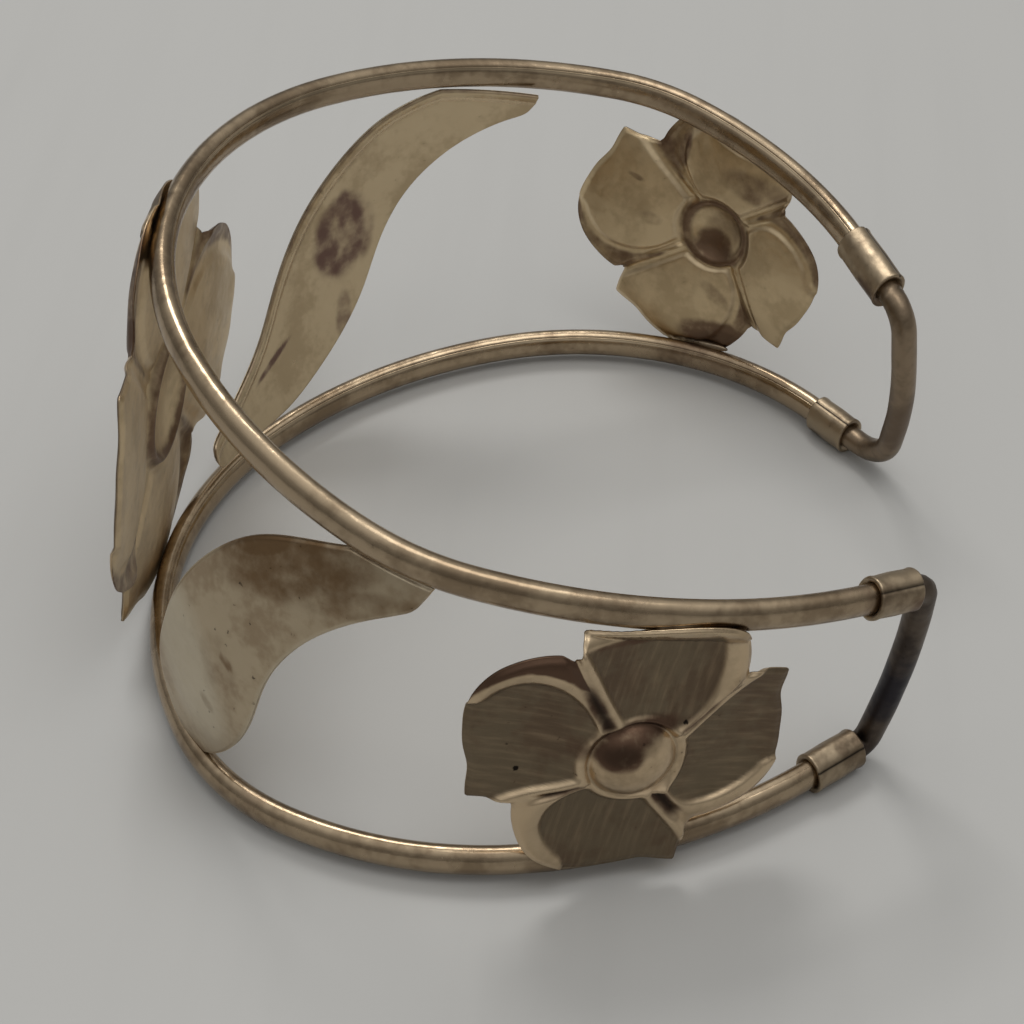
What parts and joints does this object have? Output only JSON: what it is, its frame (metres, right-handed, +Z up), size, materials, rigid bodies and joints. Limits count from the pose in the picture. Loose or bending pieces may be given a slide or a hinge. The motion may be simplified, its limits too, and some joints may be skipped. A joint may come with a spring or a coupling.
{
  "type": "openwork cuff bangle",
  "caption": "Openwork cuff bangle: two oval wire rails joined by wire end loops in sleeves, with stamped flowers and domed leaves set between the rails.",
  "frame": {"origin": "bottom centre of the bounding box of the bangle as it lies on its lower rail", "axes": "+Z up from the lower rail to the upper rail, along the wrist; +X from the centre flower to the opening; +Y to the back"},
  "size_m": [0.0578, 0.062, 0.0332],
  "materials": {
    "rail_metal": "worn polished gold tone with a seam line",
    "flower_metal": "stamped, brushed petal floors and polished rims, tarnished",
    "leaf_metal": "satin, stained brown in places",
    "sleeve_metal": "dull polish with dark joints",
    "loop_metal": "dark brown tarnish"
  },
  "bodies": {
    "root": {"lower_rail": "rail_metal", "upper_rail": "rail_metal", "centre_flower": "flower_metal", "front_flower": "flower_metal", "back_flower": "flower_metal", "front_leaf": "leaf_metal", "back_leaf": "leaf_metal", "front_upper_sleeve": "sleeve_metal", "front_lower_sleeve": "sleeve_metal", "back_upper_sleeve": "sleeve_metal", "back_lower_sleeve": "sleeve_metal", "front_end_loop": "loop_metal", "back_end_loop": "loop_metal"}
  },
  "joints": []
}
